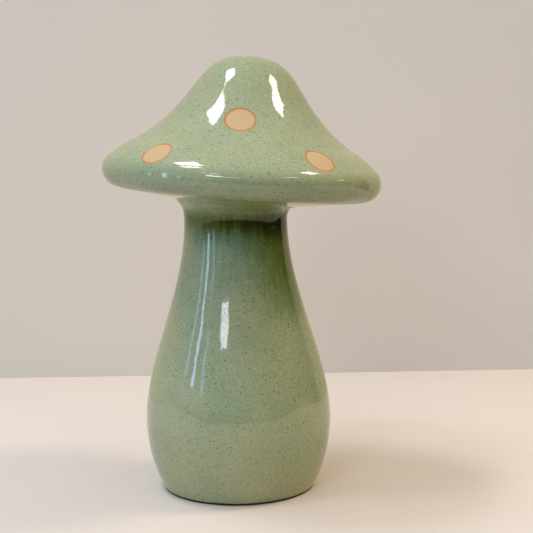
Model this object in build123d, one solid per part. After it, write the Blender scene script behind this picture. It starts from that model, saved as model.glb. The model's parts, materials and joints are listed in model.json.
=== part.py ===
from build123d import *
import math
import os

# A hollow glazed mushroom ornament in cast clay. Lengths are in millimetres and angles in degrees.
# The floor is at zero height, the stem stands upright on the vertical axis, and the front faces -Y.

# Stem, measured over its glaze
foot_radius = 47.1
belly_radius = 57.1
belly_height = 43.0
neck_radius = 31.6
neck_height = 163.0
stem_wall = 6.0
stem_floor = 7.0
vent_radius = 3.0

# Shape points of the stem's side: share of the way out or in, and share of the way up
heel_shares = (0.71, 0.45)
shoulder_shares = (0.70, 0.35)
waist_shares = (0.233, 0.683)

# Pad under the foot, stuck on with a film of adhesive
pad_thickness = 1.2
pad_inset = 0.6
film_thickness = 0.2
film_inset = 1.5

# Cap, measured over its glaze from the tip of its shallow conical underside
cap_radius = 84.8
cap_height = 93.0
lip_radius = 10.7
lip_rise_angle = 49.0
underside_slope = 7.7
cap_wall = 5.5
passage_radius = 20.0

# Shape points of the cap's side: share of the radius, and share of the way from rim to top
dome_shares = (0.24, 0.928)
brow_shares = (0.40, 0.708)
flank_shares = (0.59, 0.436)
saddle_shares = (0.77, 0.268)

# How the cap was set on the stem by hand
cap_seat_height = 171.5
cap_shift = 2.65
cap_lean = 4.6
cap_lean_heading = 9.0

# Coil of soft clay that joins the cap to the stem
bed_thickness = 0.8
coil_reach = 7.2
coil_drop = 6.6
coil_root = 0.6

# Glaze coat, and the round windows left bare in it
coat_thickness = 0.45
window_radius = 9.0
window_cut_depth = 3.0

# Places of the windows: turn about the cap's axis, and share of the way down the crown to the lip
window_turns_and_shares = {
    "top": (125.0, 0.08),
    "upper_front": (-94.2, 0.608),
    "upper_right": (-5.0, 0.62),
    "upper_back": (86.0, 0.605),
    "upper_left": (-176.0, 0.605),
    "lower_front_right": (-54.9, 0.915),
    "lower_back_right": (41.0, 0.93),
    "lower_back_left": (132.0, 0.935),
    "lower_front_left": (-130.1, 0.943),
}

# One overrun serves every cutting shape, and drawn-in curves are followed in this many steps
overrun = 10.0
inset_steps = 30

# The stem's seam is turned away from the seams of the pieces that meet it, so that none run together
stem_seam_turn = 90.0


def share_of(start, end, share):
    """A value part of the way from start to end."""
    return start + (end - start) * share


def side_point(radius, height):
    """A point of an outline, which lies in the XZ plane."""
    return Vector(radius, 0, height)


def inset_curve(curve, depth):
    """The curve moved square to itself by a depth, towards the right of its own direction."""
    moved = []
    for step in range(inset_steps + 1):
        along = curve.tangent_at(step / inset_steps)
        moved.append(curve.position_at(step / inset_steps) + Vector(along.Z, 0, -along.X) * depth)
    return Spline(*moved)


def revolved(edges):
    """The solid that a closed outline makes round the vertical axis."""
    return revolve(make_face(edges), Axis.Z)


foot_level = pad_thickness + film_thickness
cap_place = (
    Pos(cap_shift, 0, cap_seat_height)
    * Rot(Z=cap_lean_heading)
    * Rot(Y=cap_lean)
    * Rot(Z=-cap_lean_heading)
)
rise_per_radius = math.tan(math.radians(underside_slope))
tip_rise_per_depth = 1 / math.cos(math.radians(underside_slope))

# The rim is the widest place of the cap, level with the middle of its rolled lip
lip_centre_radius = cap_radius - lip_radius
rim_height = lip_centre_radius * rise_per_radius + lip_radius * tip_rise_per_depth
lip_centre = Vector(lip_centre_radius, 0, rim_height)

# The cap is set over a tube that runs up past its underside before it is trimmed
stem_top = max(neck_height, cap_seat_height) + cap_radius * rise_per_radius


def stem_side_points():
    """The stem's shape points, from the foot up to the neck."""
    heel = side_point(
        share_of(foot_radius, belly_radius, heel_shares[0]),
        share_of(foot_level, belly_height, heel_shares[1]),
    )
    shoulder = side_point(
        share_of(neck_radius, belly_radius, shoulder_shares[0]),
        share_of(belly_height, neck_height, shoulder_shares[1]),
    )
    waist = side_point(
        share_of(neck_radius, belly_radius, waist_shares[0]),
        share_of(belly_height, neck_height, waist_shares[1]),
    )
    foot = side_point(foot_radius, foot_level)
    belly = side_point(belly_radius, belly_height)
    neck = side_point(neck_radius, neck_height)
    return [foot, heel, belly, shoulder, waist, neck]


def stem_form(depth, floor_level):
    """The stem's outer form, drawn in by a depth and cut off flat at a floor level."""
    side = inset_curve(Spline(*stem_side_points()), -depth)
    foot = side @ 0
    neck = side @ 1
    head = side_point(neck.X, stem_top)
    base = side_point(foot.X, -overrun)
    edges = [
        Line(side_point(0, -overrun), base),
        Line(base, foot),
        side,
        Line(neck, head),
        Line(head, side_point(0, stem_top)),
        Line(side_point(0, stem_top), side_point(0, -overrun)),
    ]
    form = revolved(edges)
    below = Pos(0, 0, floor_level) * Cylinder(
        belly_radius + overrun,
        floor_level + 2 * overrun,
        align=(Align.CENTER, Align.CENTER, Align.MAX),
    )
    return Rot(Z=stem_seam_turn) * (form - below)


def crown_curve():
    """The cap's side over its glaze, from its top down to the lip."""
    shoulder = side_point(1, 0).rotate(Axis.Y, -lip_rise_angle)
    lip_start = lip_centre + shoulder * lip_radius
    points = [side_point(0, cap_height)]
    for radius_share, rise_share in (dome_shares, brow_shares, flank_shares, saddle_shares):
        rise = share_of(rim_height, cap_height, rise_share)
        points.append(side_point(cap_radius * radius_share, rise))
    down_the_lip = Vector(shoulder.Z, 0, -shoulder.X)
    return Spline(*points, lip_start, tangents=[Vector(1, 0, 0), down_the_lip])


def cap_form(depth):
    """The cap's outer form, drawn in by a depth."""
    crown = inset_curve(crown_curve(), depth)
    square_to_underside = Vector(0, 0, -1).rotate(Axis.Y, -underside_slope)
    lip_end = lip_centre + square_to_underside * (lip_radius - depth)
    lip = TangentArc(crown @ 1, lip_end, tangent=crown % 1)
    tip = side_point(0, depth * tip_rise_per_depth)
    return revolved([crown, lip, Line(lip_end, tip), Line(tip, crown @ 0)])


def over_underside(depth):
    """All the space over the cone that the underside makes, drawn in by a depth."""
    tip = side_point(0, depth * tip_rise_per_depth)
    edge = side_point(cap_radius, tip.Z + cap_radius * rise_per_radius)
    corner = side_point(cap_radius, cap_height)
    top = side_point(0, cap_height)
    return revolved([Line(tip, edge), Line(edge, corner), Line(corner, top), Line(top, tip)])


def coil_form(thickness):
    """The flared coil round the neck, made larger by a thickness, running up past the underside."""
    tube = neck_radius - coat_thickness
    start = side_point(tube - coil_root + thickness, -coil_drop)
    reach = tube + coil_reach + thickness
    end = side_point(reach, reach * rise_per_radius)
    flare = TangentArc(start, end, tangent=Vector(0, 0, 1))
    top = end + Vector(0, 0, overrun)
    edges = [
        Line(side_point(0, start.Z), start),
        flare,
        Line(end, top),
        Line(top, side_point(0, top.Z)),
        Line(side_point(0, top.Z), side_point(0, start.Z)),
    ]
    return Pos(-cap_shift, 0, 0) * revolved(edges)


def window_cutters():
    """Short round cutters, each square to the cap's side and with its seam turned uphill."""
    crown = crown_curve()
    cutters = []
    for turn, share in window_turns_and_shares.values():
        along = crown.tangent_at(share)
        outward = Vector(-along.Z, 0, along.X)
        seat = Plane(origin=crown.position_at(share), x_dir=-along, z_dir=outward)
        cutters.append(Rot(Z=turn) * (seat * Cylinder(window_radius, 2 * window_cut_depth)))
    return cutters


# Forms that several pieces are cut by
stem_clay_form = stem_form(coat_thickness, foot_level)
stem_cavity = stem_form(coat_thickness + stem_wall, foot_level + stem_floor)
over_clay_underside = cap_place * over_underside(coat_thickness)
over_bed = cap_place * Pos(0, 0, -bed_thickness) * over_underside(coat_thickness)
coil_clay_form = cap_place * coil_form(0)
coil_glazed_form = cap_place * coil_form(coat_thickness)


def make_stem_body():
    """Cast stem: a hollow bulb and neck with a vent in its floor, trimmed to seat the leaning cap."""
    vent = Cylinder(vent_radius, 2 * (foot_level + stem_floor))
    return stem_clay_form - stem_cavity - vent - over_bed


def make_joining_coil(stem_body):
    """Coil of clay bedded between stem and cap and smoothed into a flare round the neck."""
    return coil_clay_form - over_clay_underside - stem_body - stem_cavity


def make_cap_body():
    """Cast cap: a hollow bell with a passage through its underside into the stem."""
    cavity = cap_form(coat_thickness + cap_wall)
    passage = Cylinder(passage_radius, rim_height, align=(Align.CENTER, Align.CENTER, Align.MIN))
    return cap_place * (cap_form(coat_thickness) - cavity - passage)


def make_stem_glaze():
    """Glass coat over stem and coil, from the foot up to the cap's underside."""
    coated = stem_form(0, foot_level) + coil_glazed_form
    return coated - over_clay_underside - stem_clay_form - coil_clay_form


def make_cap_glaze():
    """Glass coat over the cap, open in the round windows and round the joining coil."""
    coat = cap_form(0) - cap_form(coat_thickness) - window_cutters()
    return cap_place * coat - coil_glazed_form


def make_disc(radius, thickness, level):
    """A flat round sheet that lies at a level."""
    return Pos(0, 0, level) * Cylinder(
        radius, thickness, align=(Align.CENTER, Align.CENTER, Align.MIN)
    )


stem_body = make_stem_body()
pieces = {
    "base_pad": make_disc(foot_radius - pad_inset, pad_thickness, 0),
    "adhesive_film": make_disc(foot_radius - film_inset, film_thickness, pad_thickness),
    "stem_body": stem_body,
    "joining_coil": make_joining_coil(stem_body),
    "cap_body": make_cap_body(),
    "stem_glaze": make_stem_glaze(),
    "cap_glaze": make_cap_glaze(),
}

os.makedirs("parts", exist_ok=True)
for name, piece in pieces.items():
    export_step(piece, f"parts/{name}.step")
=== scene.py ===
import json
import math
import bmesh
import bpy
import numpy as np
from mathutils import Matrix, Vector, geometry, noise

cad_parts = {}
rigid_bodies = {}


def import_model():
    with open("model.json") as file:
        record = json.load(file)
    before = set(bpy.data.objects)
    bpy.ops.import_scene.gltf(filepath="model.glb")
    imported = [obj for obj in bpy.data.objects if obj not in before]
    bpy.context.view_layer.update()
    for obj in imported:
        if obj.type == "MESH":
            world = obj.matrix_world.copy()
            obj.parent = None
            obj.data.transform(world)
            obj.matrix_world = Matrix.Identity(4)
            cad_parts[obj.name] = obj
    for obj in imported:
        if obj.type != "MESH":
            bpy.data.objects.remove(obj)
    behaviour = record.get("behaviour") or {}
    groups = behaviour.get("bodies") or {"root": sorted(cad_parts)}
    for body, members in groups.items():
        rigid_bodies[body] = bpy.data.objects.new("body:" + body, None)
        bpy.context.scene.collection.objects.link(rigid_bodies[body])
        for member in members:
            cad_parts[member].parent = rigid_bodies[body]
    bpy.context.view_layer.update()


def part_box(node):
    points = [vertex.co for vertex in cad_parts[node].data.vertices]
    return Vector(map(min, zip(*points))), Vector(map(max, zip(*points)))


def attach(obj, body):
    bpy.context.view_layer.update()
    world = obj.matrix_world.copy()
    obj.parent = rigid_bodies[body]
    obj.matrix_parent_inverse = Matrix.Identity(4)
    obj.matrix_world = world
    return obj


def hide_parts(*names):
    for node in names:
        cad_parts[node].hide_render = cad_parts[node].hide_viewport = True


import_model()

# Looks of a glazed mushroom ornament in cast clay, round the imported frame.
# Lengths are in metres and angles in degrees. The stem stands on the Z axis and the front faces -Y.

MM = 0.001

# Stem, measured over its glaze
foot_radius = 47.1 * MM
belly_radius = 57.1 * MM
belly_height = 43.0 * MM
neck_radius = 31.6 * MM
neck_height = 163.0 * MM
heel_shares = (0.71, 0.45)
shoulder_shares = (0.70, 0.35)
waist_shares = (0.233, 0.683)
foot_flare = 62.5
neck_flare = 91.1

# Flare under the cap, as radius and height: it is longer and softer on the high side of the cap
crease_radius = 37.9 * MM
high_crease_radius = 37.2 * MM
low_flare = [(31.7 * MM, 168.6 * MM), (33.65 * MM, 171.9 * MM)]
high_flare = [(31.75 * MM, 170.2 * MM), (32.95 * MM, 174.5 * MM), (35.7 * MM, 178.2 * MM)]

# Cap, measured over its glaze from the tip of its underside
cap_radius = 84.8 * MM
cap_height = 93.0 * MM
lip_radius = 10.7 * MM
lip_rise_angle = 49.0
underside_slope = 7.7
dome_shares = (0.24, 0.928)
brow_shares = (0.40, 0.708)
flank_shares = (0.59, 0.436)
saddle_shares = (0.77, 0.268)
crown_top_pull = 1.139
crown_lip_pull = 2.184
cap_wall = 5.5 * MM
stem_wall = 6.0 * MM
bed_thickness = 0.8 * MM
passage_radius = 20.0 * MM

# How the cap was set on the stem by hand
cap_seat_height = 171.5 * MM
cap_shift = 2.65 * MM
cap_lean = 4.6
cap_lean_heading = 9.0

# Glaze coat and the round windows left bare in it: turn about the cap's axis, share of the way down the crown
coat_thickness = 0.45 * MM
window_radius = 9.0 * MM
window_turns_and_shares = {
    "top": (125.0, 0.08),
    "upper_front": (-94.2, 0.608),
    "upper_right": (-5.0, 0.62),
    "upper_back": (86.0, 0.605),
    "upper_left": (-176.0, 0.605),
    "lower_front_right": (-54.9, 0.915),
    "lower_back_right": (41.0, 0.93),
    "lower_back_left": (132.0, 0.935),
    "lower_front_left": (-130.1, 0.943),
}

# How finely the surfaces are meshed
side_step = 0.25 * MM
glaze_gap = 1.6 * MM
clay_gap = 4.0 * MM
window_steps = 96
stem_columns = 256
stem_rows = 100
clay_patch_gap = 0.45 * MM
collar_rows = 36

# Slow waves of the hand-finished faces: depth, size and seed, and where and over what span they die out
cap_wave = (0.12 * MM, 12 * MM, 1)
stem_wave = (0.12 * MM, 12 * MM, 2)
felt_wave = (0.05 * MM, 0.8 * MM, 3)
calm_height = 172 * MM
calm_span = 7 * MM

# The table top and the wall behind it
table_front = 0.78
table_side = 3.0
wall_distance = 0.323
wall_height = 1.2
wall_right_side = 0.60


def linear(colour):
    """A colour written as sRGB hex digits, as linear red, green, blue and alpha."""
    channels = [int(colour[i : i + 2], 16) / 255 for i in (0, 2, 4)]
    return [c / 12.92 if c <= 0.04045 else ((c + 0.055) / 1.055) ** 2.4 for c in channels] + [1.0]


def add(tree, kind, inputs=None, **settings):
    """Adds a node, with its settings, its input values and the links into it."""
    node = tree.nodes.new(kind)
    for name, value in settings.items():
        setattr(node, name, value)
    for name, value in (inputs or {}).items():
        if isinstance(value, bpy.types.NodeSocket):
            tree.links.new(value, node.inputs[name])
        else:
            node.inputs[name].default_value = value
    return node


def calc(tree, operation, *values, clamp=False):
    """The result of a sum on numbers, each given as it is or by a link."""
    node = add(tree, "ShaderNodeMath", dict(enumerate(values)), operation=operation, use_clamp=clamp)
    return node.outputs[0]


def whole(tree, operation, first, second):
    """The result of a sum on two whole numbers."""
    return add(tree, "FunctionNodeIntegerMath", {0: first, 1: second}, operation=operation).outputs[0]


def between(tree, value, low, high, to_low=0.0, to_high=1.0, smooth=False):
    """A value carried over from one range to another and held at its ends."""
    ends = {"Value": value, "From Min": low, "From Max": high, "To Min": to_low, "To Max": to_high}
    easing = "SMOOTHSTEP" if smooth else "LINEAR"
    return add(tree, "ShaderNodeMapRange", ends, interpolation_type=easing).outputs["Result"]


def blend(tree, share, first, second):
    """A colour that goes from the first to the second by a share."""
    ends = {"Factor": share, "A": first, "B": second}
    return add(tree, "ShaderNodeMix", ends, data_type="RGBA").outputs["Result"]


def times(tree, colour, light):
    """A colour dimmed by a light, channel by channel."""
    return add(tree, "ShaderNodeVectorMath", {0: colour, 1: light}, operation="MULTIPLY").outputs["Vector"]


def cloudy(tree, place, size, detail=2.0):
    """A random value that changes from place to place over about a size."""
    look = {"Vector": place, "Scale": 1 / size, "Detail": detail}
    return add(tree, "ShaderNodeTexNoise", look).outputs["Fac"]


def share_of(start, end, share):
    """A value part of the way from start to end."""
    return start + (end - start) * share


def curve_through(points, start_slope, end_slope):
    """A smooth curve through points, with its slopes given at both ends, as close-set points."""
    points = np.array(points, float)
    spans = np.linalg.norm(np.diff(points, axis=0), axis=1)
    knots = np.concatenate([[0], np.cumsum(spans)])
    count = len(points)
    matrix = np.eye(count)
    sides = np.zeros((count, 2))
    sides[0] = start_slope
    sides[-1] = end_slope
    for i in range(1, count - 1):
        before, after = spans[i - 1], spans[i]
        matrix[i, i - 1 : i + 2] = after, 2 * (before + after), before
        rise_before = (points[i] - points[i - 1]) / before
        rise_after = (points[i + 1] - points[i]) / after
        sides[i] = 3 * (after * rise_before + before * rise_after)
    slopes = np.linalg.solve(matrix, sides)
    along = np.linspace(0, knots[-1], max(2, round(knots[-1] / side_step) + 1))
    span = np.clip(np.searchsorted(knots, along, side="right") - 1, 0, count - 2)
    width = spans[span][:, None]
    u = (along - knots[span])[:, None] / width
    return (
        (2 * u**3 - 3 * u**2 + 1) * points[span]
        + (u**3 - 2 * u**2 + u) * width * slopes[span]
        + (3 * u**2 - 2 * u**3) * points[span + 1]
        + (u**3 - u**2) * width * slopes[span + 1]
    )


def heading(angle, length=1.0):
    """A vector of a length in an outline's plane, at an angle above level."""
    return np.array([math.cos(math.radians(angle)), math.sin(math.radians(angle))]) * length


def outline_normals(points):
    """Unit vectors square to an outline, on the left of its direction."""
    along = np.gradient(points, axis=0)
    normals = np.stack([-along[:, 1], along[:, 0]], axis=1)
    return normals / np.linalg.norm(normals, axis=1)[:, None]


def mesh_object(name, vertices, faces, materials):
    """A smooth mesh object at the origin with its place in its mesh."""
    mesh = bpy.data.meshes.new(name)
    mesh.from_pydata([tuple(v) for v in vertices], [], faces)
    mesh.validate()
    mesh.polygons.foreach_set("use_smooth", [True] * len(mesh.polygons))
    for material in materials:
        mesh.materials.append(material)
    thing = bpy.data.objects.new(name, mesh)
    bpy.context.scene.collection.objects.link(thing)
    return thing


def tidy(piece):
    """Drops loose points and turns every face outwards."""
    work = bmesh.new()
    work.from_mesh(piece.data)
    loose = [v for v in work.verts if not v.link_faces]
    bmesh.ops.delete(work, geom=loose, context="VERTS")
    bmesh.ops.recalc_face_normals(work, faces=work.faces)
    work.to_mesh(piece.data)
    work.free()


def give_attribute(thing, name, values):
    """Stores one number for each vertex under a name."""
    attribute = thing.data.attributes.new(name, "FLOAT", "POINT")
    attribute.data.foreach_set("value", np.asarray(values, dtype=np.float32))


# Outline of the cap: crown, rolled lip and straight underside, kept with the arc length along it
rise_per_radius = math.tan(math.radians(underside_slope))
lip_centre_radius = cap_radius - lip_radius
rim_height = lip_centre_radius * rise_per_radius + lip_radius / math.cos(math.radians(underside_slope))
lip_centre = np.array([lip_centre_radius, rim_height])
cap_place = (
    Matrix.Translation((cap_shift, 0, cap_seat_height))
    @ Matrix.Rotation(math.radians(cap_lean_heading), 4, "Z")
    @ Matrix.Rotation(math.radians(cap_lean), 4, "Y")
    @ Matrix.Rotation(math.radians(-cap_lean_heading), 4, "Z")
)


def crown_curve():
    """The crown's side from its top down to the lip."""
    points = [(0, cap_height)]
    for radius_share, rise_share in (dome_shares, brow_shares, flank_shares, saddle_shares):
        points.append((cap_radius * radius_share, share_of(rim_height, cap_height, rise_share)))
    points.append(lip_centre + heading(lip_rise_angle, lip_radius))
    return curve_through(points, heading(0, crown_top_pull), heading(lip_rise_angle - 90, crown_lip_pull))


crown = crown_curve()
lip_angles = np.arange(lip_rise_angle, underside_slope - 90, -math.degrees(side_step / lip_radius))[1:]
lip = np.array([lip_centre + heading(angle, lip_radius) for angle in lip_angles])
underside_start = lip_centre + heading(underside_slope - 90, lip_radius)
underside_steps = round(underside_start[0] / side_step)
underside = np.array([underside_start * (1 - i / underside_steps) for i in range(underside_steps)])
cap_side = np.vstack([crown, lip, underside])
cap_side_normals = outline_normals(cap_side)
cap_side_normals[0] = (0, 1)
cap_side_lengths = np.concatenate([[0], np.cumsum(np.linalg.norm(np.diff(cap_side, axis=0), axis=1))])
crown_length = cap_side_lengths[len(crown) - 1]

# Radius of each place on a flat map of the cap that keeps small shapes true
map_steps = np.diff(cap_side_lengths[1:]) / ((cap_side[1:-1, 0] + cap_side[2:, 0]) / 2)
cap_map_radii = cap_side[1, 0] * np.exp(np.concatenate([[0], np.cumsum(map_steps)]))
cap_map_radii = np.concatenate([[0], cap_map_radii])


def at_length(lengths, table):
    """Values of a table of the cap's side at arc lengths."""
    if table.ndim == 1:
        return np.interp(lengths, cap_side_lengths, table)
    return np.stack([np.interp(lengths, cap_side_lengths, column) for column in table.T], axis=1)


def cap_points(lengths, turns, depths=0.0):
    """Points in the cap's own frame at arc lengths and turns, sunk by depths below the glaze's face."""
    sides = at_length(lengths, cap_side) - at_length(lengths, cap_side_normals) * np.reshape(depths, (-1, 1))
    return np.stack([sides[:, 0] * np.cos(turns), sides[:, 0] * np.sin(turns), sides[:, 1]], axis=1)


def lowered_on_cap(points):
    """Arc lengths and turns of the places on the cap's side nearest to points."""
    radii = np.hypot(points[:, 0], points[:, 1])
    gaps = (radii[:, None] - cap_side[None, :, 0]) ** 2 + (points[:, 2, None] - cap_side[None, :, 1]) ** 2
    nearest = np.argmin(gaps, axis=1)
    normals = cap_side_normals[nearest] / np.linalg.norm(cap_side_normals[nearest], axis=1)[:, None]
    off = np.stack([radii, points[:, 2]], axis=1) - cap_side[nearest]
    beyond = off[:, 0] * normals[:, 1] - off[:, 1] * normals[:, 0]
    return cap_side_lengths[nearest] + beyond, np.arctan2(points[:, 1], points[:, 0])


def window_seats():
    """Centre, outward direction and two directions along the face, for each window, in the cap's frame."""
    seats = []
    for turn, share in window_turns_and_shares.values():
        place = np.array([share * crown_length])
        centre_side, normal = at_length(place, cap_side)[0], at_length(place, cap_side_normals)[0]
        along = np.array([normal[1], -normal[0]]) / np.linalg.norm(normal)
        c, s = math.cos(math.radians(turn)), math.sin(math.radians(turn))
        centre = np.array([centre_side[0] * c, centre_side[0] * s, centre_side[1]])
        downhill = np.array([along[0] * c, along[0] * s, along[1]])
        outward = np.array([-along[1] * c, -along[1] * s, along[0]])
        seats.append((centre, outward, downhill, np.cross(outward, downhill)))
    return seats


# Rounds in which a loop settles on the face, and the fewest places in a ring
DROP_ROUNDS = 6
FEWEST_PLACES = 6


def ring_on_cap(seat, radius, steps):
    """Arc lengths and turns of a loop on the cap's face, straight below a circle over a window."""
    centre, outward, downhill, across = seat
    angles = np.linspace(0, 2 * math.pi, steps, endpoint=False)
    circle = centre + radius * (np.cos(angles)[:, None] * downhill + np.sin(angles)[:, None] * across)
    points = circle.copy()
    for _ in range(DROP_ROUNDS):
        lengths, turns = lowered_on_cap(points)
        foot = cap_points(lengths, turns)
        points = circle + ((foot - circle) @ outward)[:, None] * outward
    return lengths, turns


seats = window_seats()


def spread_rings(gap, last_length, last_count, keep_clear):
    """Places on the cap in rings a gap apart, with none near a window."""
    lengths, turns = [np.zeros(1)], [np.zeros(1)]
    rings = round(last_length / gap)
    for ring in range(1, rings + 1):
        length = last_length * ring / rings
        radius = at_length(np.array([length]), cap_side)[0, 0]
        count = last_count if ring == rings else max(FEWEST_PLACES, round(2 * math.pi * radius / gap))
        # Every other ring is turned by half a step
        turn = (np.arange(count) + 0.5 * (ring % 2)) * 2 * math.pi / count
        lengths.append(np.full(count, length))
        turns.append(turn)
    lengths, turns = np.concatenate(lengths), np.concatenate(turns)
    points = cap_points(lengths, turns)
    clear = np.ones(len(points), bool)
    for centre, *_ in seats:
        clear &= np.linalg.norm(points - centre, axis=1) > keep_clear
    clear[-last_count:] = True
    return lengths[clear], turns[clear]


# Places on the flat map that lie closer than this count as one
SAME_PLACE = 1e-12


def skin(lengths, turns, loops):
    """Triangles over places on the cap, found on its flat map, with closed loops kept as edges."""
    radii = at_length(lengths, cap_map_radii)
    flat = [Vector((r * math.cos(t), r * math.sin(t))) for r, t in zip(radii, turns)]
    edges = []
    for loop in loops:
        edges += [(loop[i - 1], loop[i]) for i in range(len(loop))]
    found = geometry.delaunay_2d_cdt(flat, edges, [], 0, SAME_PLACE, True)
    origin = [ids[0] for ids in found[3]]
    return [tuple(origin[i] for i in face) for face in found[2]]


# How far a seed moves the waves, and how far apart their three directions are read, in wavelengths
SEED_OFFSET = (7.3, 3.1, 5.7)
WAVE_OFFSET = 31.7

# The waves come up from the straight underside over this height of the lip
WAVE_ONSET = 1.5 * lip_radius


def wavy(points, depth, size, seed):
    """Points of the cap moved by a slow random wave, as dipped surfaces have, but for the underside."""
    x, y, z = (seed * offset for offset in SEED_OFFSET)
    shifts = [Vector((x, y + WAVE_OFFSET * axis, z)) for axis in range(3)]
    waves = np.array([[noise.noise(Vector(p) / size + shift) for shift in shifts] for p in points])
    strength = np.clip((points[:, 2] - rim_height + lip_radius) / WAVE_ONSET, 0, 1)
    return points + depth * strength[:, None] * waves


def placed(points):
    """Points of the cap's frame in the object's frame."""
    turn = np.array(cap_place.to_3x3())
    return points @ turn.T + np.array(cap_place.translation)


# Materials

WHITE = (1.0, 1.0, 1.0, 1.0)


def material(name):
    """An empty node material, its nodes, and the place on the object."""
    made = bpy.data.materials.new(name)
    made.use_nodes = True
    made.node_tree.nodes.clear()
    place = add(made.node_tree, "ShaderNodeTexCoord").outputs["Object"]
    return made, made.node_tree, place


def surfaced(tree, **look):
    """Ends a material in one plain surface with the look given by its inputs."""
    inputs = {name.replace("_", " "): value for name, value in look.items()}
    surface = add(tree, "ShaderNodeBsdfPrincipled", inputs).outputs["BSDF"]
    add(tree, "ShaderNodeOutputMaterial", {"Surface": surface})


def bumped(tree, height, strength, depth):
    """The facing of a surface roughened by a height."""
    relief = {"Height": height, "Strength": strength, "Distance": depth}
    return add(tree, "ShaderNodeBump", relief).outputs["Normal"]


# Cloudy body of the glaze and its fine grain: colours, size, and part of the random values used
GLAZE_COLOURS = ("98AA8B", "A9B08F")
CLOUD_SIZE = 26 * MM
CLOUD_SPAN = (0.28, 0.72)
GRAIN_SIZE = 1.4 * MM
GRAIN_SPAN = (0.25, 0.75)
GRAIN_LIGHT = (0.87, 1.17)
GLAZE_ROUGHNESS = 0.06
GLAZE_IOR = 1.54
THIN_GLAZE = "C08247"

# Iron specks in the glaze: cell they are scattered in, share of cells that hold one, radius and colour, then
# the width of their soft edge and the part of them that have the full radius
SPECKS = ((1.3 * MM, 0.9, 0.34 * MM, "66755A"), (2.4 * MM, 0.9, 0.44 * MM, "3C4832"))
SPECK_EDGE = 0.15 * MM
FULL_SPECKS = 0.4

# Shade painted into the glaze's colour, under the cap and in the crease: share of depth, and share of light
# it lets back
SHADE_STOPS = (
    (0.0, (1.0, 1.0, 1.0)),
    (0.33, (0.66, 0.78, 0.74)),
    (0.62, (0.37, 0.45, 0.35)),
    (0.82, (0.14, 0.165, 0.028)),
    (1.0, (0.065, 0.078, 0.004)),
)

# The painted shade deepens by the slope for each metre to the right, and swings in streaks of this size
SHADE_SLOPE = 7.5
STREAK_SIZE = (2.2 * MM, 2.2 * MM, 30 * MM)
STREAK_SWING = 0.16

# Deep painted shade turns from green to olive above a height and to the right, each over a span
OLIVE_LIGHT = (0.86, 0.85, 0.22, 1.0)
OLIVE_GAIN = 1.6
OLIVE_HEIGHT, OLIVE_RISE = 161 * MM, 7 * MM
OLIVE_SIDE, OLIVE_SPREAD = 4 * MM, 20 * MM

# The ripple of the glaze, which is wiped smooth between two heights, where the cap was joined on
RIPPLE_SIZE = 3.5 * MM
RIPPLE_DEPTH = 0.03 * MM
CALM_FROM, CALM_TO, CALM_FADE = 163 * MM, 180 * MM, 6 * MM


def sage_glaze():
    """Sage stoneware glaze fired on cream clay: a wet gloss over cloudy green with dark iron specks, darkened
    by painted shade.
    """
    made, tree, place = material("sage_stoneware_glaze")
    drift = between(tree, cloudy(tree, place, CLOUD_SIZE), *CLOUD_SPAN)
    body = blend(tree, drift, *map(linear, GLAZE_COLOURS))
    grain = between(tree, cloudy(tree, place, GRAIN_SIZE), *GRAIN_SPAN, *GRAIN_LIGHT)
    colour = add(tree, "ShaderNodeVectorMath", {0: body, "Scale": grain}, operation="SCALE").outputs["Vector"]
    for cell, share, radius, ink in SPECKS:
        dots = add(tree, "ShaderNodeTexVoronoi", {"Vector": place, "Scale": 1 / cell}).outputs
        pick = add(tree, "ShaderNodeSeparateColor", {"Color": dots["Color"]}).outputs["Red"]
        size = between(tree, pick, 1 - share, 1 - FULL_SPECKS * share, 0.0, radius / cell)
        within = calc(tree, "SUBTRACT", size, dots["Distance"])
        soft = calc(tree, "MULTIPLY", within, cell / SPECK_EDGE, clamp=True)
        colour = blend(tree, soft, colour, linear(ink))

    # Painted shade under the cap and in the crease, deeper on the right and in upright streaks
    depth = add(tree, "ShaderNodeAttribute", attribute_name="pool").outputs["Fac"]
    x, _, z = add(tree, "ShaderNodeSeparateXYZ", {"Vector": place}).outputs
    leaning = calc(tree, "MULTIPLY_ADD", x, SHADE_SLOPE, depth)
    streak_place = add(tree, "ShaderNodeMapping", {"Vector": place, "Scale": [1 / size for size in STREAK_SIZE]})
    streak = cloudy(tree, streak_place.outputs["Vector"], 1.0, 1.0)
    shade_depth = calc(tree, "ADD", leaning, between(tree, streak, 0.0, 1.0, -STREAK_SWING, STREAK_SWING))
    ramp = add(tree, "ShaderNodeValToRGB", {"Fac": shade_depth})
    stops = ramp.color_ramp.elements
    stops.remove(stops[1])
    for number, (stop, light) in enumerate(SHADE_STOPS):
        element = stops.new(stop) if number else stops[0]
        element.position = stop
        element.color = (*light, 1.0)
    above = between(tree, z, OLIVE_HEIGHT, OLIVE_HEIGHT + OLIVE_RISE)
    beside = between(tree, x, OLIVE_SIDE, OLIVE_SIDE + OLIVE_SPREAD)
    deep_shade = calc(tree, "MULTIPLY", shade_depth, OLIVE_GAIN, clamp=True)
    turned = calc(tree, "MULTIPLY", calc(tree, "MAXIMUM", above, beside), deep_shade)
    light = times(tree, ramp.outputs["Color"], blend(tree, turned, WHITE, OLIVE_LIGHT))

    # Thin glaze at a window's edge lets the toasted clay through
    thin = add(tree, "ShaderNodeAttribute", attribute_name="thin").outputs["Fac"]
    broken = blend(tree, thin, times(tree, colour, light), linear(THIN_GLAZE))
    over = between(tree, z, CALM_FROM, CALM_FROM + CALM_FADE)
    past = between(tree, z, CALM_TO, CALM_TO + CALM_FADE)
    stir = calc(tree, "SUBTRACT", 1.0, calc(tree, "SUBTRACT", over, past))
    ripple = bumped(tree, cloudy(tree, place, RIPPLE_SIZE, 1.5), stir, RIPPLE_DEPTH)
    surfaced(tree, Base_Color=broken, Roughness=GLAZE_ROUGHNESS, IOR=GLAZE_IOR, Normal=ripple)
    return made


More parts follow.
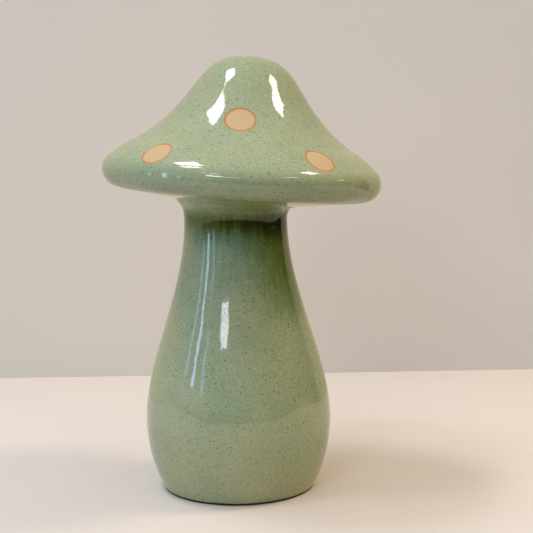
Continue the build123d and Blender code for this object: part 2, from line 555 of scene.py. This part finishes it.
CLAY_COLOURS = ("C7A97F", "D6B992")
TOASTED_CLAY = "C77F3A"
GRIT_SIZE, GRIT_DEPTH = 0.6 * MM, 0.05 * MM


def bare_clay():
    """Biscuit-fired clay with no glaze: dry and matt, peach, toasted orange where the glaze ends."""
    made, tree, place = material("bare_biscuit_clay")
    grit = cloudy(tree, place, GRIT_SIZE, 3.0)
    body = blend(tree, grit, *map(linear, CLAY_COLOURS))
    toast = add(tree, "ShaderNodeAttribute", attribute_name="toast").outputs["Fac"]
    toasted = blend(tree, toast, body, linear(TOASTED_CLAY))
    surfaced(tree, Base_Color=toasted, Roughness=0.85, Normal=bumped(tree, grit, 0.15, GRIT_DEPTH))
    return made


FELT_COLOURS = ("141414", "2C2B29")
WOOL_SIZE, WOOL_DEPTH = 0.5 * MM, 0.1 * MM


def black_felt():
    """Pressed wool felt, die cut: near black, matt and faintly woolly."""
    made, tree, place = material("black_wool_felt")
    wool = cloudy(tree, place, WOOL_SIZE, 4.0)
    body = blend(tree, wool, *map(linear, FELT_COLOURS))
    relief = bumped(tree, wool, 0.6, WOOL_DEPTH)
    surfaced(tree, Base_Color=body, Roughness=0.95, Normal=relief, Sheen_Weight=0.3)
    return made


ADHESIVE_COLOURS = ("B79A62", "C9B080")
SMEAR_SIZE = 6 * MM


def tacky_adhesive():
    """Cured contact adhesive: a thin amber film with a dull shine."""
    made, tree, place = material("cured_adhesive")
    body = blend(tree, cloudy(tree, place, SMEAR_SIZE), *map(linear, ADHESIVE_COLOURS))
    surfaced(tree, Base_Color=body, Roughness=0.4)
    return made


glaze_finish = sage_glaze()
clay_finish = bare_clay()
felt_finish = black_felt()
adhesive_finish = tacky_adhesive()


# The coat at a window's edge: its rings, how deep the clay lies there, and how the coat ends
WINDOW_EDGE_RINGS = (0.0, 0.04 * MM, 0.1 * MM, 0.2 * MM, 0.4 * MM, 0.9 * MM, 1.7 * MM)
WINDOW_DEPTH = 0.14 * MM
WINDOW_RAMP = 1.1 * MM
EDGE_ROUND = 0.25 * MM
THIN_WIDTH = 0.5 * MM


def clay_depth(beyond):
    """How deep the clay lies at a distance beyond a window's edge, where the coat thins."""
    return share_of(WINDOW_DEPTH, coat_thickness, np.clip(beyond / WINDOW_RAMP, 0, 1))


# The coat at the crease: how far it laps the flare, its rings, and the shade painted on it over a width
CREASE_LAP = 1.8 * MM
CREASE_RINGS = (0.0, 0.9 * MM, 1.8 * MM, 2.7 * MM, 3.8 * MM, 5.2 * MM, 7.0 * MM)
CREASE_SHADE_WIDTH = 1.8 * MM
CREASE_SHARES = (-1.0, 0.5)

# A face lies in the opening round the flare within this share of its radius
HOLE_SHARE = 0.999

# How far plain rings stay clear of a window's edge, and how far its fine rings reach past it
GLAZE_CLEAR = 2.6 * MM
CLAY_CLEAR = 2 * MM
CLAY_PATCH_REACH = 1.2 * MM


def underside_length(radius):
    """Arc length along the cap's side of the place on the underside at a radius."""
    return cap_side_lengths[-1] - (radius - cap_side[-1, 0]) / math.cos(math.radians(underside_slope))


def make_cap_glaze():
    """One skin over the whole cap, open at the windows and round the flare."""
    last_length = underside_length(crease_radius + CREASE_RINGS[-1] + cap_shift)
    lengths, turns = spread_rings(glaze_gap, last_length, stem_columns, window_radius + GLAZE_CLEAR)
    count = len(lengths)
    parts = [(lengths, turns, np.full(count, glaze_gap))]
    loops = []
    for seat in seats:
        loops.append(list(range(count, count + window_steps)))
        for ring in WINDOW_EDGE_RINGS:
            places = ring_on_cap(seat, window_radius + ring, window_steps)
            parts.append((*places, np.full(window_steps, ring)))
            count += window_steps
    # The opening round the flare is centred on the stem, not on the cap
    angles = np.linspace(0, 2 * math.pi, stem_columns, endpoint=False)
    hole_radius = crease_radius - CREASE_LAP
    rim = list(range(count, count + stem_columns))
    for ring in CREASE_RINGS:
        radius = hole_radius + ring
        x, y = radius * np.cos(angles) - cap_shift, radius * np.sin(angles)
        parts.append((underside_length(np.hypot(x, y)), np.arctan2(y, x), np.full(stem_columns, glaze_gap)))
    lengths, turns, beyond = (np.concatenate(column) for column in zip(*parts))

    flat = cap_points(lengths, turns)
    triangles = np.array(skin(lengths, turns, [*loops, rim]))
    middles = flat[triangles].mean(axis=1)
    # Inside a window every corner lies on its edge, and the opening has no faces either
    keep = ~(beyond[triangles] == 0).all(axis=1)
    off = np.hypot(middles[:, 0] + cap_shift, middles[:, 1])
    keep &= ~((off < hole_radius * HOLE_SHARE) & (middles[:, 2] < rim_height))
    triangles = triangles[keep]

    # At a window the coat ends on the clay in a quarter round
    edge = np.clip(1 - beyond / EDGE_ROUND, 0, 1)
    outer = cap_points(lengths, turns, WINDOW_DEPTH * (1 - np.sqrt(1 - edge**2)))
    inner = cap_points(lengths, turns, clay_depth(beyond))
    shared = np.arange(len(outer))
    inner_index = np.where(beyond == 0, shared, shared + len(outer))
    faces = [tuple(t) for t in triangles] + [tuple(inner_index[t][::-1]) for t in triangles]
    faces += [(rim[i - 1], rim[i], inner_index[rim[i]], inner_index[rim[i - 1]]) for i in range(len(rim))]
    faces = [tuple(int(i) for i in face) for face in faces]
    points = placed(wavy(np.vstack([outer, inner]), *cap_wave))
    piece = mesh_object("cap_glaze_coat", points, faces, [glaze_finish])
    # Shade is painted on the underside near the crease, where the flare meets it
    from_crease = np.hypot(flat[:, 0] + cap_shift, flat[:, 1]) - crease_radius
    near = np.where(flat[:, 2] < rim_height, np.clip(1 - from_crease / CREASE_SHADE_WIDTH, 0, 1), 0)
    give_attribute(piece, "pool", np.tile(share_of(*CREASE_SHARES, near), 2))
    give_attribute(piece, "thin", np.tile(np.clip(1 - beyond / THIN_WIDTH, 0, 1), 2))
    tidy(piece)
    return piece


cap_glaze = make_cap_glaze()
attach(cap_glaze, "root")
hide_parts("cap_glaze")


# Cap clay: its face is seen in the windows, so there it is meshed finely and stands a little proud
TOAST_WIDTH = 0.5 * MM
TOAST_FADE = 0.35 * MM
WINDOW_SHELF = 0.8 * MM
WINDOW_RISE = 0.08 * MM
PASSAGE_COLUMNS = 72


def make_cap_clay():
    """The hollow clay cap with its passage into the stem."""
    last_length = underside_length(passage_radius)
    lengths, turns = spread_rings(clay_gap, last_length, PASSAGE_COLUMNS, window_radius + CLAY_CLEAR)
    loop = list(range(len(lengths) - PASSAGE_COLUMNS, len(lengths)))
    parts = [(lengths, turns, np.full(len(lengths), -clay_gap))]
    for seat in seats:
        for radius in np.arange(clay_patch_gap / 2, window_radius + CLAY_PATCH_REACH, clay_patch_gap):
            steps = max(FEWEST_PLACES, round(2 * math.pi * radius / clay_patch_gap))
            parts.append((*ring_on_cap(seat, radius, steps), np.full(steps, window_radius - radius)))
    lengths, turns, inside = (np.concatenate(column) for column in zip(*parts))
    faces = skin(lengths, turns, [loop])
    rise = np.clip(inside / WINDOW_SHELF, 0, 1) * WINDOW_RISE
    rows = [cap_points(lengths, turns, clay_depth(-inside) - rise)]

    # Up the passage, then round the hollow to its top
    hollow = cap_side - cap_side_normals * (coat_thickness + cap_wall)
    hollow = hollow[(hollow[:, 0] > 0) & (cap_side_lengths < last_length)]
    turn = turns[loop]
    count = len(lengths)
    for radius, height in hollow[:: round(clay_gap / side_step)][::-1]:
        if radius <= clay_gap / 2:
            continue
        row = list(range(count, count + len(loop)))
        level = np.full(len(loop), height)
        rows.append(np.stack([radius * np.cos(turn), radius * np.sin(turn), level], axis=1))
        faces += [(loop[i - 1], row[i - 1], row[i], loop[i]) for i in range(len(loop))]
        loop = row
        count += len(loop)
    rows.append(np.array([[0, 0, cap_height - coat_thickness - cap_wall]]))
    faces += [(loop[i - 1], count, loop[i]) for i in range(len(loop))]
    points = placed(wavy(np.vstack(rows), *cap_wave))
    piece = mesh_object("cap_clay_shell", points, faces, [clay_finish])
    toast = np.clip(1 - (np.abs(inside) - TOAST_WIDTH) / TOAST_FADE, 0, 1)
    give_attribute(piece, "toast", np.concatenate([toast, np.zeros(len(points) - len(toast))]))
    tidy(piece)
    return piece


cap_clay = make_cap_clay()
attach(cap_clay, "root")
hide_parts("cap_body")


# Turned forms: the stem's coat, the joining coil and the pad under the foot
SEAM_GAP = 1e-6


def picked(tree, outlines, value, row, kind):
    """The value that a point of the outlines holds, picked by its row."""
    found = {"Geometry": outlines, "Value": value, "Index": row}
    return add(tree, "GeometryNodeSampleIndex", found, data_type=kind).outputs[0]


def turned_form_tree():
    """A Geometry Nodes tree that turns a low side and a high side round the Z axis.

    The mesh given to it holds the points of the low side, then as many of the high side, from the same start.
    """
    tree = bpy.data.node_groups.new("turned_form", "GeometryNodeTree")
    numbers = ("High side turn", "Wave depth", "Wave size", "Calm height", "Calm span", "Seed")
    sockets = {"Outlines": "Geometry", "Columns": "Int", **dict.fromkeys(numbers, "Float")}
    sockets["Finish"] = "Material"
    for name, kind in sockets.items():
        tree.interface.new_socket(name, in_out="INPUT", socket_type="NodeSocket" + kind)
    tree.interface.new_socket("Form", in_out="OUTPUT", socket_type="NodeSocketGeometry")
    given = add(tree, "NodeGroupInput").outputs

    # A grid with a row for each point of a side, closed where its first and last columns meet
    size = add(tree, "GeometryNodeAttributeDomainSize", {"Geometry": given["Outlines"]})
    rows = whole(tree, "DIVIDE", size.outputs["Point Count"], 2)
    around = whole(tree, "ADD", given["Columns"], 1)
    grid = add(tree, "GeometryNodeMeshGrid", {"Vertices X": around, "Vertices Y": rows})
    index = add(tree, "GeometryNodeInputIndex").outputs[0]
    row = whole(tree, "MODULO", index, rows)
    column = whole(tree, "DIVIDE_FLOOR", index, rows)

    # Each column stands between the low side and the high side by its turn
    turn = calc(tree, "MULTIPLY", calc(tree, "DIVIDE", column, given["Columns"]), 2 * math.pi)
    lift = calc(tree, "COSINE", calc(tree, "SUBTRACT", turn, given["High side turn"]))
    share = calc(tree, "MULTIPLY_ADD", lift, 0.5, 0.5)
    place = add(tree, "GeometryNodeInputPosition").outputs[0]
    low = picked(tree, given["Outlines"], place, row, "FLOAT_VECTOR")
    high = picked(tree, given["Outlines"], place, whole(tree, "ADD", row, rows), "FLOAT_VECTOR")
    side = add(tree, "ShaderNodeMix", {"Factor": share, "A": low, "B": high}, data_type="VECTOR")
    radius, _, level = add(tree, "ShaderNodeSeparateXYZ", {"Vector": side.outputs["Result"]}).outputs
    x, y = (calc(tree, "MULTIPLY", calc(tree, way, turn), radius) for way in ("COSINE", "SINE"))
    turned = add(tree, "ShaderNodeCombineXYZ", {"X": x, "Y": y, "Z": level}).outputs[0]
    form = add(tree, "GeometryNodeSetPosition", {"Geometry": grid.outputs["Mesh"], "Position": turned})
    # Each row carries its share of painted shade
    pool = add(tree, "GeometryNodeInputNamedAttribute", {"Name": "pool"}).outputs[0]
    shade_depth = picked(tree, given["Outlines"], pool, row, "FLOAT")
    held = {"Geometry": form.outputs[0], "Name": "pool", "Value": shade_depth}
    kept = add(tree, "GeometryNodeStoreNamedAttribute", held)
    closed = add(tree, "GeometryNodeMergeByDistance", {"Geometry": kept.outputs[0], "Distance": SEAM_GAP})

    # The waves of a hand-finished face, which die out towards the calm height
    step = calc(tree, "DIVIDE", 1.0, given["Wave size"])
    seeded = add(tree, "ShaderNodeVectorMath", {0: place, 1: given["Seed"]}, operation="ADD").outputs[0]
    swell = add(tree, "ShaderNodeTexNoise", {"Vector": seeded, "Scale": step, "Detail": 1.0}).outputs["Color"]
    centred = add(tree, "ShaderNodeVectorMath", {0: swell, 1: (0.5, 0.5, 0.5)}, operation="SUBTRACT")
    height = add(tree, "ShaderNodeSeparateXYZ", {"Vector": place}).outputs["Z"]
    below = calc(tree, "SUBTRACT", given["Calm height"], height)
    stir = calc(tree, "DIVIDE", below, given["Calm span"], clamp=True)
    depth = calc(tree, "MULTIPLY", stir, given["Wave depth"])
    moved = add(tree, "ShaderNodeVectorMath", {0: centred.outputs[0], "Scale": depth}, operation="SCALE")
    waved = add(tree, "GeometryNodeSetPosition", {"Geometry": closed.outputs[0], "Offset": moved.outputs[0]})
    smooth = add(tree, "GeometryNodeSetShadeSmooth", {"Geometry": waved.outputs[0]})
    look = {"Geometry": smooth.outputs[0], "Material": given["Finish"]}
    finished = add(tree, "GeometryNodeSetMaterial", look)
    add(tree, "NodeGroupOutput", {"Form": finished.outputs[0]})
    return tree


turned_form = turned_form_tree()


def make_turned(name, low, high, pool, columns, wave, finish):
    """A piece turned from its low and high side, as radii and heights, with a share of painted shade a row.
    """
    points = [(r, 0, z) for r, z in np.vstack([low, high])]
    outlines = mesh_object(name + "_outlines", points, [], [])
    give_attribute(outlines, "pool", np.concatenate([pool, pool]))
    modifier = outlines.modifiers.new("turned", "NODES")
    modifier.node_group = turned_form
    depth, wave_size, seed = wave
    values = {
        "Columns": columns,
        "High side turn": math.radians(180 + cap_lean_heading),
        "Wave depth": 2 * depth,
        "Wave size": wave_size,
        "Calm height": calm_height,
        "Calm span": calm_span,
        "Seed": float(seed),
        "Finish": finish,
    }
    for socket in turned_form.interface.items_tree:
        if socket.name in values:
            modifier[socket.identifier] = values[socket.name]
    shaped = outlines.evaluated_get(bpy.context.evaluated_depsgraph_get())
    piece = bpy.data.objects.new(name, bpy.data.meshes.new_from_object(shaped))
    piece.data.name = name
    bpy.context.scene.collection.objects.link(piece)
    bpy.data.objects.remove(outlines)
    return piece


# Rounds that settle a height on the cap's underside
SETTLE_ROUNDS = 20


def underside_over(x, y):
    """Height of the cap's underside over a place on the floor."""
    height = cap_seat_height
    for _ in range(SETTLE_ROUNDS):
        point = cap_place.inverted() @ Vector((x, y, height))
        height += math.hypot(point.x, point.y) * rise_per_radius - point.z
    return height


foot_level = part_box("stem_glaze")[0].z

# How far the coat of the flare runs up into the coat of the cap, and the slope each side of it ends at
CREASE_RISE = 0.2 * coat_thickness
LOW_CREASE_SLOPE = 28
HIGH_CREASE_SLOPE = 36


def stem_side(flare, crease_radius, turn, crease_angle):
    """One side of the stem over its glaze: from foot to neck, and on to the crease under the cap."""
    heel_radius = share_of(foot_radius, belly_radius, heel_shares[0])
    heel = (heel_radius, share_of(foot_level, belly_height, heel_shares[1]))
    points = [(foot_radius, foot_level), heel, (belly_radius, belly_height)]
    for radius_share, height_share in (shoulder_shares, waist_shares):
        radius = share_of(neck_radius, belly_radius, radius_share)
        points.append((radius, share_of(belly_height, neck_height, height_share)))
    neck = (neck_radius, neck_height)
    crease = (crease_radius, underside_over(*heading(turn, crease_radius)) + CREASE_RISE)
    body = curve_through([*points, neck], heading(foot_flare), heading(neck_flare))
    collar = curve_through([neck, *flare, crease], heading(neck_flare), heading(crease_angle))
    return spaced(body, stem_rows), spaced(collar, collar_rows)


def spaced(curve, count):
    """A number of points of a curve, evenly spaced along it."""
    lengths = np.concatenate([[0], np.cumsum(np.linalg.norm(np.diff(curve, axis=0), axis=1))])
    places = np.linspace(0, lengths[-1], count)
    return np.stack([np.interp(places, lengths, column) for column in curve.T], axis=1)


low_side = stem_side(low_flare, crease_radius, cap_lean_heading, LOW_CREASE_SLOPE)
high_side = stem_side(high_flare, high_crease_radius, 180 + cap_lean_heading, HIGH_CREASE_SLOPE)

# The rounded end of the coat at the foot, in shares of its thickness, outwards and up
FOOT_EDGE = ((-1, 0), (-0.5, 0), (-0.15, 0.1), (0.1, 0.5))

# The coat's inner face has one row for this many of its outer face
INNER_ROW_STEP = 4


def coat_outline(side):
    """Closed outline of the stem's coat: up its face, over the crease and down the clay."""
    outer = np.vstack([side[0], side[1][1:]])
    inner = outer + outline_normals(outer) * coat_thickness
    inner = inner[::-INNER_ROW_STEP][1:-1]
    foot_edge = np.array(FOOT_EDGE) * coat_thickness + (foot_radius, foot_level)
    top = outer[-1] + (0, 0.5 * coat_thickness)
    return np.vstack([foot_edge, outer[1:], [top, top - (coat_thickness, 0)], inner, foot_edge[:1]])


# Painted shade at heights up the stem, in millimetres, most of all just under the flare, where the cap shades
# the neck
SHADE_HEIGHTS = (98, 110, 115.7, 121.5, 127.3, 136, 144.5, 150.3, 156, 160.7, 164.2, 168, 170.5, 173, 175.5)
SHADE_SHARES = (-0.4, -0.10, -0.02, 0.06, 0.14, 0.27, 0.31, 0.37, 0.51, 0.68, 0.80, 0.80, 0.60, 0.35, 0.13)

# More shade is painted in the crease itself, and less with each row away from it
CREASE_SHADE_EXTRA = 0.35
CREASE_SHADE_ROWS = 1.3


def make_stem_glaze():
    """The coat over stem and flare, with shade painted under the flare and in the crease."""
    low, high = coat_outline(low_side), coat_outline(high_side)
    crease_row = len(FOOT_EDGE) + len(low_side[0]) + len(low_side[1]) - 2
    past = np.abs(np.arange(len(low)) - crease_row)
    height = (low[:, 1] + high[:, 1]) / 2 / MM
    pool = np.interp(height, SHADE_HEIGHTS, SHADE_SHARES) + CREASE_SHADE_EXTRA * np.exp(-past / CREASE_SHADE_ROWS)
    return make_turned("stem_glaze_coat", low, high, pool, stem_columns, stem_wave, glaze_finish)


stem_glaze = make_stem_glaze()
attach(stem_glaze, "root")
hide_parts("stem_glaze")


# The coil's flare leaves the tube this part of the way along the collar
COIL_START = 4


def coil_outline(side, turn):
    """Closed outline of the clay coil: up its flare, in under the cap, and down on the stem."""
    collar = side[1] + outline_normals(side[1]) * coat_thickness
    tube = neck_radius - coat_thickness
    bore = tube - stem_wall
    collar = collar[collar_rows // COIL_START :]
    ends = [underside_over(*heading(turn, r)) + coat_thickness for r in (collar[-1, 0], bore, tube)]
    rows = [(tube, collar[0, 1]), *collar, (collar[-1, 0], ends[0]), (bore, ends[1])]
    rows += [(bore, ends[1] - bed_thickness), (tube, ends[2] - bed_thickness)]
    return np.array([*rows, rows[0]])


def make_joining_clay():
    """The coil of clay that joins the cap to the stem, under the flare's coat."""
    low = coil_outline(low_side, cap_lean_heading)
    high = coil_outline(high_side, 180 + cap_lean_heading)
    pool = np.zeros(len(low))
    return make_turned("joining_clay_coil", low, high, pool, stem_columns // 2, stem_wave, clay_finish)


joining_clay = make_joining_clay()
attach(joining_clay, "root")
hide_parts("joining_coil")


# The felt disc: share of its thickness rounded over at the edge, points and turn of the round, rows, columns
FELT_SOFT = 0.25
FELT_EDGE_POINTS = 4
FELT_EDGE_TURN = 1.57
FELT_ROWS = 24
FELT_COLUMNS = 360


def make_felt_pad():
    """The felt disc under the foot, with soft cut edges."""
    low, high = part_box("base_pad")
    radius, thickness = (high.x - low.x) / 2, high.z - low.z
    soft = FELT_SOFT * thickness
    angles = np.linspace(-FELT_EDGE_TURN, 0, FELT_EDGE_POINTS)
    across = [(radius * i / FELT_ROWS, 0) for i in range(FELT_ROWS)]
    lower = across + [(radius - soft + soft * math.cos(a), soft + soft * math.sin(a)) for a in angles]
    side = np.array(lower + [(r, thickness - z) for r, z in lower[::-1]])
    # The waves never take it below the floor
    side[:, 1] = np.maximum(side[:, 1], felt_wave[0])
    return make_turned("felt_pad", side, side, np.zeros(len(side)), FELT_COLUMNS, felt_wave, felt_finish)


felt_pad = make_felt_pad()
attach(felt_pad, "root")
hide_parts("base_pad")


def dress(node, finish):
    """Gives a carried-over CAD node its material."""
    for thing in bpy.data.objects:
        if thing.type == "MESH" and thing.name == node:
            thing.data.materials.clear()
            thing.data.materials.append(finish)


dress("stem_body", clay_finish)
dress("adhesive_film", adhesive_finish)


# Stage, lights and camera

# Worn patches of the paint, how far they shade it, and the distances over which its bounce changes
PATCHES_PER_METRE = 9.0
PATCH_SHADE = (0.97, 1.03)
BOUNCE_SPAN = (0.08, 0.35)


def pale_paint(name, colour, bounce=None, glow=None):
    """Old white paint: pale, dry and nearly flat in colour.

    The light that it throws back can be dimmed, near the object and far from it, by a share for each colour.
    A glow lifts only what is seen of it, in the picture and in the gloss.
    """
    made, tree, place = material(name)
    rays = add(tree, "ShaderNodeLightPath").outputs
    tint = between(tree, cloudy(tree, place, 1 / PATCHES_PER_METRE, 3.0), 0.0, 1.0, *PATCH_SHADE)
    tinted = {0: linear(colour)[:3], "Scale": tint}
    shade = add(tree, "ShaderNodeVectorMath", tinted, operation="SCALE").outputs["Vector"]
    if bounce:
        away = add(tree, "ShaderNodeVectorMath", {0: place}, operation="LENGTH").outputs["Value"]
        thrown = blend(tree, between(tree, away, *BOUNCE_SPAN), *((*share, 1.0) for share in bounce))
        shade = times(tree, shade, blend(tree, rays["Is Diffuse Ray"], WHITE, thrown))
    surface = add(tree, "ShaderNodeBsdfPrincipled", {"Base Color": shade, "Roughness": 0.7}).outputs["BSDF"]
    if glow:
        seen = calc(tree, "MAXIMUM", rays["Is Camera Ray"], rays["Is Glossy Ray"])
        hue = blend(tree, rays["Is Glossy Ray"], *((*share, 1.0) for share in glow))
        light = add(tree, "ShaderNodeEmission", {"Color": hue, "Strength": seen}).outputs[0]
        lifted = add(tree, "ShaderNodeAddShader", {0: surface, 1: light}).outputs[0]
        # Its back is clear, so that a camera behind it sees the object
        behind = add(tree, "ShaderNodeNewGeometry").outputs["Backfacing"]
        clear = add(tree, "ShaderNodeBsdfTransparent").outputs["BSDF"]
        surface = add(tree, "ShaderNodeMixShader", {"Fac": behind, 1: lifted, 2: clear}).outputs["Shader"]
    add(tree, "ShaderNodeOutputMaterial", {"Surface": surface})
    return made


def stage_plane(name, start, along, up, paint):
    """A flat sheet from a corner along two of its sides."""
    start, along, up = (Vector(v) for v in (start, along, up))
    corners = [start, start + along, start + along + up, start + up]
    return mesh_object(name, corners, [(0, 1, 2, 3)], [paint])


floor = stage_plane(
    "floor",
    (-table_side, -table_front, 0),
    (2 * table_side, 0, 0),
    (0, table_front + wall_distance, 0),
    pale_paint("pale_floor_paint", "E3DBD8", bounce=((0.85, 0.76, 0.57), (0.37, 0.41, 0.29))),
)
wall = stage_plane(
    "backdrop",
    (-table_side, wall_distance, 0),
    (table_side + wall_right_side, 0, 0),
    (0, 0, wall_height),
    pale_paint("pale_wall_paint", "E2DAD6", glow=((0.145, 0.13, 0.125), (0.16, 0.12, 0.02))),
)


def window_light(name, centre, aim, size, strength, colour):
    """A flat soft light shaped like a window, which the camera itself doesn't see."""
    data = bpy.data.lights.new(name, "AREA")
    data.shape = "RECTANGLE"
    data.size, data.size_y = size
    data.energy = strength * size[0] * size[1] * math.pi
    data.color = linear(colour)[:3]
    lamp = bpy.data.objects.new(name, data)
    lamp.location = centre
    lamp.rotation_euler = (Vector(aim) - Vector(centre)).to_track_quat("-Z", "Y").to_euler()
    lamp.visible_camera = False
    bpy.context.scene.collection.objects.link(lamp)


def at_heading(turn, rise, distance, height):
    """A place seen from the object at a turn to the right of its front and a rise above level."""
    t, e = math.radians(turn), math.radians(rise)
    way = Vector((math.sin(t) * math.cos(e), -math.cos(t) * math.cos(e), math.sin(e)))
    return way * distance + Vector((0, 0, height))


# Roof windows by place and size on a ceiling, as shares of its height over the crown
CROWN_LEVEL = 0.23
CEILING_HEIGHT = 2.0
ROOF_WINDOWS = {
    "roof_window_left_back": ((-0.385, 0.06), (0.23, 0.32), 15.0, "F6F9FF"),
    "roof_window_left_front": ((-0.50, -0.29), (0.24, 0.18), 14.0, "F6F9FF"),
    "roof_window_right": ((0.78, 0.035), (0.24, 0.27), 27.5, "FFE6C4"),
}
for name, (spot, spread, strength, colour) in ROOF_WINDOWS.items():
    x, y = (share * CEILING_HEIGHT for share in spot)
    size = [share * CEILING_HEIGHT for share in spread]
    window_light(name, (x, y, CROWN_LEVEL + CEILING_HEIGHT), (x, y, 0), size, strength, colour)

# Side windows by the middle and the spread of what the glaze mirrors, in degrees round the object
SIDE_WINDOWS = {
    "high_window": ((-21.5, 25.4), (14.5, 2.4), 13.0, "F0F4FF"),
    "lower_window": ((-21.3, 22.5), (10.6, 3.4), 11.0, "F0F4FF"),
    "upper_window": ((-25, 37.6), (15, 1.8), 12.0, "FFF6E4"),
    "right_window": ((45, 35.5), (12, 2.3), 8.0, "FFF0D8"),
    "far_right_window": ((91, 22), (7, 2.4), 6.0, "FFEBD0"),
}
SIDE_DISTANCE = 1.6
SIDE_AIM = (0, 0, 0.13)
for name, ((turn, rise), spreads, strength, colour) in SIDE_WINDOWS.items():
    size = [2 * SIDE_DISTANCE * math.tan(math.radians(spread / 2)) for spread in spreads]
    window_light(name, at_heading(turn, rise, SIDE_DISTANCE, SIDE_AIM[2]), SIDE_AIM, size, strength, colour)

# Narrow panes close by: turn and distance, lowest and highest point, width, strength and colour
PANES = {
    "tall_pane": ((-60.0, 0.485), (0.155, 0.322), 0.034, 9.0, "B4D2FF"),
    "tall_pane_left": ((-71.5, 0.485), (0.172, 0.290), 0.036, 3.0, "A6C8FF"),
    "tall_pane_right": ((-46.5, 0.485), (0.142, 0.272), 0.036, 3.0, "A6C8FF"),
    "wide_pane": ((-14.0, 0.6), (0.388, 0.414), 0.24, 9.0, "D8E6FF"),
}
for name, ((turn, distance), (low, high), width, strength, colour) in PANES.items():
    centre = at_heading(turn, 0, distance, (low + high) / 2)
    window_light(name, centre, (0, 0, (low + high) / 2), (width, high - low), strength, colour)

# Tones of the room that the glaze mirrors: its walls at left and right, high and low, ceiling and ground
HIGH_WALLS = ("98AAC4", "C4AC7C")
LOW_WALLS = ("A8C8D8", "3E4034")
CEILING = "E2DAC8"
GROUND = "302F2B"

# Where they pass into each other, as the sideways or the upward share of the direction looked in
HIGH_WALLS_FADE = (-0.8, 0.8)
LOW_WALLS_FADE = (-0.7, 0.7)
GROUND_FADE = (-0.06, 0.12)
WALLS_FADE = (0.10, 0.38)
CEILING_FADE = (0.45, 0.85)

# The camera sees plain pale paper all round
PAPER = "DCD3CA"

world = bpy.data.worlds.new("room")
bpy.context.scene.world = world
world.use_nodes = True
air = world.node_tree
air.nodes.clear()
way = add(air, "ShaderNodeTexCoord").outputs["Generated"]
sideways, _, upwards = add(air, "ShaderNodeSeparateXYZ", {"Vector": way}).outputs
high_walls = blend(air, between(air, sideways, *HIGH_WALLS_FADE), *map(linear, HIGH_WALLS))
low_walls = blend(air, between(air, sideways, *LOW_WALLS_FADE), *map(linear, LOW_WALLS))
high_room = blend(air, between(air, upwards, *CEILING_FADE), high_walls, linear(CEILING))
low_room = blend(air, between(air, upwards, *GROUND_FADE, smooth=True), linear(GROUND), low_walls)
room_tone = blend(air, between(air, upwards, *WALLS_FADE, smooth=True), low_room, high_room)
seen = add(air, "ShaderNodeLightPath").outputs["Is Camera Ray"]
tone = blend(air, seen, room_tone, linear(PAPER))
room = add(air, "ShaderNodeBackground", {"Color": tone, "Strength": 1.0})
add(air, "ShaderNodeOutputWorld", {"Surface": room.outputs["Background"]})

# The camera as the photograph was taken: a long lens, looking down a little on the cap
CAMERA_PLACE = (0.0, -0.7618, 0.2327)
CAMERA_PITCH, CAMERA_YAW, CAMERA_ROLL = 7.2, 1.39, -0.67
PICTURE_WIDTH = 533
LENS_IN_PIXELS = 1250.0
SENSOR_WIDTH = 36.0


def make_camera():
    """The camera, turned by its yaw, its pitch and then its roll."""
    pitch, yaw, roll = (math.radians(a) for a in (CAMERA_PITCH, CAMERA_YAW, CAMERA_ROLL))
    forward = Vector((math.sin(yaw) * math.cos(pitch), math.cos(yaw) * math.cos(pitch), -math.sin(pitch)))
    level = Vector((math.cos(yaw), -math.sin(yaw), 0))
    up = level.cross(forward)
    right = level * math.cos(roll) + up * math.sin(roll)
    above = up * math.cos(roll) - level * math.sin(roll)
    data = bpy.data.cameras.new("camera")
    data.sensor_width = SENSOR_WIDTH
    data.lens = SENSOR_WIDTH * LENS_IN_PIXELS / PICTURE_WIDTH
    camera = bpy.data.objects.new("camera", data)
    turn = Matrix((right, above, -forward)).transposed()
    camera.matrix_world = Matrix.Translation(CAMERA_PLACE) @ turn.to_4x4()
    bpy.context.scene.collection.objects.link(camera)
    bpy.context.scene.camera = camera


make_camera()
bpy.context.scene.view_settings.view_transform = "Standard"
